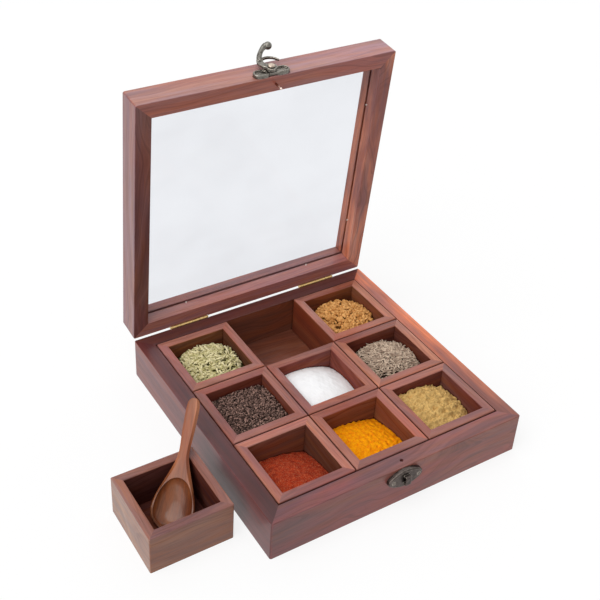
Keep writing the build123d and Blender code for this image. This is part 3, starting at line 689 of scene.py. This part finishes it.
# filling: cup, one seed, how many, fall to the sides and spread of the heap, tilt of the seeds,
# their pale, deep and line colours, and how rare the pale ones are; lengths in metres
seeds = {
    "fennel_seeds": ("back_left", seed_form(0.0066, 0.0016, 0.0015, ribs=0.07, bend=0.0003),
                     720, 0.0080, 0.0262, 0.45, (0.98, 0.88, 0.56), (0.50, 0.45, 0.19),
                     (0.22, 0.20, 0.06), 1.0),
    "mustard_seeds": ("middle_left", seed_form(0.0013, 0.0012, 0.0012, 5, 6),
                      4600, 0.0029, 0.034, 0.6, (0.54, 0.325, 0.260), (0.026, 0.013, 0.010),
                      (0.020, 0.010, 0.007), 1.7),
    "cumin_seeds": ("middle_right", seed_form(0.0054, 0.0012, 0.0011, ribs=0.09, bend=0.0003),
                    1180, 0.0065, 0.0262, 0.35, (0.80, 0.63, 0.48), (0.31, 0.215, 0.155),
                    (0.10, 0.06, 0.045), 1.0),
    "fenugreek_seeds": ("back_right", seed_form(0.0037, 0.0026, 0.0023, 5, 6, blunt=1.0),
                        760, 0.0075, 0.0262, 0.5, (0.90, 0.49, 0.170), (0.54, 0.235, 0.058),
                        (0.30, 0.12, 0.025), 1.0),
}
for number, (node, (cup, form, count, drop, spill, tilt, *tones, rare)) in enumerate(seeds.items()):

    def bed_dome(x, y, top):
        """The bed's ground, low enough for a few seeds to lie on it."""
        under_seeds, unevenness = 0.0027, 0.0006
        return dome(x, y, top - under_seeds, drop) + lumps(x, y, number + 70, 0.006, 3) * unevenness

    bed = closed_heap(node + "_bed", cup, node, bed_dome, 48)
    # painted shade: the bed is a dark copy of the seeds' line colour, for the shade deep in the heap
    painted_seed_shade = tuple(0.35 * value for value in tones[-1])
    bed.data.materials.append(powder(node + "_bed_shade", painted_seed_shade, painted_seed_shade, painted_seed_shade, 1.2, 0.9).material)
    top_layer = pour(node + "_top", cup, node, form, count, drop, spill, number + 5, tilt)
    top_layer.data.materials.append(seed_coat(node + "_coat", *tones, rare).material)


# ---------------------------------------------------------------- spoon
# Carved from one stick with the grain running down the handle into the bowl, sanded and
# polished.  The bowl is painted darker where it lies low in the cup, as shade, and is glossier
# than the handle, which hands have dulled.
spoon_turn, spoon_slope = radians(48.0), radians(39.5)
up_spoon = Vector((cos(spoon_turn) * cos(spoon_slope), sin(spoon_turn) * cos(spoon_slope),
                   sin(spoon_slope)))
side_of_spoon = Vector((-sin(spoon_turn), cos(spoon_turn), 0.0))
shaded_bowl_height, handle_height = 20.0, 38.0
spoon = saw("spoon", up_spoon, side_of_spoon, 21.3, (0.150, 0.038, 0.014),
            (0.460, 0.150, 0.060), (0.620, 0.260, 0.135), (0.260, 0.066, 0.026),
            pith=(5.0, -6.0), stain=0.85, fineness=1.9)
# painted shade: the spoon is painted darker low down, where it lies in the cup
fade(spoon, upwards, shaded_bowl_height, handle_height, (0.54, 0.50, 0.42), (0.95, 0.95, 0.95))
height = spoon.node("SeparateXYZ", spoon.place()).outputs[2]
polish = spoon.node("MapRange", height, shaded_bowl_height, handle_height, 0.32, 0.1).outputs[0]
spoon.finish({"Specular IOR Level": 0.3, "Coat Weight": polish, "Coat Roughness": 0.09})


# ---------------------------------------------------------------- studio
# A white table in a white room, lit softly by a key lamp above and to the left, a low side
# lamp on the left and a weaker one behind to the right, and the camera on its tripod.
half = 6.0
table = bpy.data.meshes.new("table")
table.from_pydata([(-half, -half, 0), (half, -half, 0), (half, half, 0), (-half, half, 0)], [],
                  [(0, 1, 2, 3)])
table_object = bpy.data.objects.new("table", table)
bpy.context.scene.collection.objects.link(table_object)
table_top = Shader("white_table")
table_top.finish({
    "Base Color": (0.98, 0.98, 0.98, 1.0),
    "Roughness": 0.9,
    "Specular IOR Level": 0.0,
})
ray = table_top.node("LightPath")
seen = table_top.math("MAXIMUM", ray.outputs["Is Camera Ray"], ray.outputs["Is Glossy Ray"])
seen = table_top.math("MAXIMUM", seen, ray.outputs["Is Transmission Ray"])
paper = table_top.node("Emission", (1.0, 1.0, 1.0, 1.0), 1.0).outputs[0]
paper_share = 0.8
bright = table_top.layer(paper_share, table_top.surface.outputs[0], paper)
bounce = table_top.node("BsdfDiffuse", (0.45, 0.45, 0.45, 1.0)).outputs[0]
table_top.show(table_top.layer(seen, bounce, bright))
table.materials.append(table_top.material)
table_object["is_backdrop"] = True

world = bpy.data.worlds.new("white_room")
bpy.context.scene.world = world
world.use_nodes = True
links, made = world.node_tree.links, world.node_tree.nodes
made.clear()
room, out = made.new("ShaderNodeBackground"), made.new("ShaderNodeOutputWorld")
ray, straight = made.new("ShaderNodeLightPath"), made.new("ShaderNodeMath")
shine, level = made.new("ShaderNodeMath"), made.new("ShaderNodeMath")
straight.operation, shine.operation, level.operation = "MAXIMUM", "MULTIPLY_ADD", "MAXIMUM"
links.new(ray.outputs["Is Camera Ray"], straight.inputs[0])
links.new(ray.outputs["Is Transmission Ray"], straight.inputs[1])
glossy_extra, ambient = 0.46, 0.34
links.new(ray.outputs["Is Glossy Ray"], shine.inputs[0])
shine.inputs[1].default_value = glossy_extra
shine.inputs[2].default_value = ambient
links.new(straight.outputs[0], level.inputs[0])
links.new(shine.outputs[0], level.inputs[1])
room.inputs["Color"].default_value = (1.0, 1.0, 1.0, 1.0)
links.new(level.outputs[0], room.inputs["Strength"])
links.new(room.outputs[0], out.inputs[0])


def lamp(name, side, spread, strength):
    """A broad, even light that shines from a side, given as a direction, towards the box."""
    data = bpy.data.lights.new(name, "SUN")
    data.angle = radians(spread)
    data.energy = strength
    holder = bpy.data.objects.new(name, data)
    holder.rotation_euler = Vector(side).to_track_quat("Z", "Y").to_euler()
    bpy.context.scene.collection.objects.link(holder)


lamp("key_lamp", (-0.5, -0.1, 1.0), 50.0, 1.85)
lamp("side_lamp", (-1.0, -0.35, 0.25), 50.0, 1.0)
lamp("back_lamp", (0.43, 0.6, 0.67), 60.0, 0.5)

camera_data = bpy.data.cameras.new("camera")
camera = bpy.data.objects.new("camera", camera_data)
bpy.context.scene.collection.objects.link(camera)
bpy.context.scene.camera = camera
camera_data.sensor_width = 36.0
camera_data.lens = 63.34
camera_data.shift_x = -0.00452
camera_data.shift_y = -0.08963
camera_data.clip_start = 0.05
camera_data.clip_end = 20.0
tripod_head = (-0.38409, -0.53380, 0.60488)
swing, rise, roll = radians(-33.816), radians(33.862), radians(3.572)
back = Vector((sin(swing) * cos(rise), -cos(swing) * cos(rise), sin(rise)))
right = Vector((0.0, 0.0, 1.0)).cross(back).normalized()
over = back.cross(right)
rolled_right = right * cos(roll) + over * sin(roll)
rolled_over = over * cos(roll) - right * sin(roll)
facing = Matrix((rolled_right, rolled_over, back)).transposed().to_4x4()
camera.matrix_world = Matrix.Translation(tripod_head) @ facing

bpy.context.scene.view_settings.view_transform = "Standard"

low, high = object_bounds()
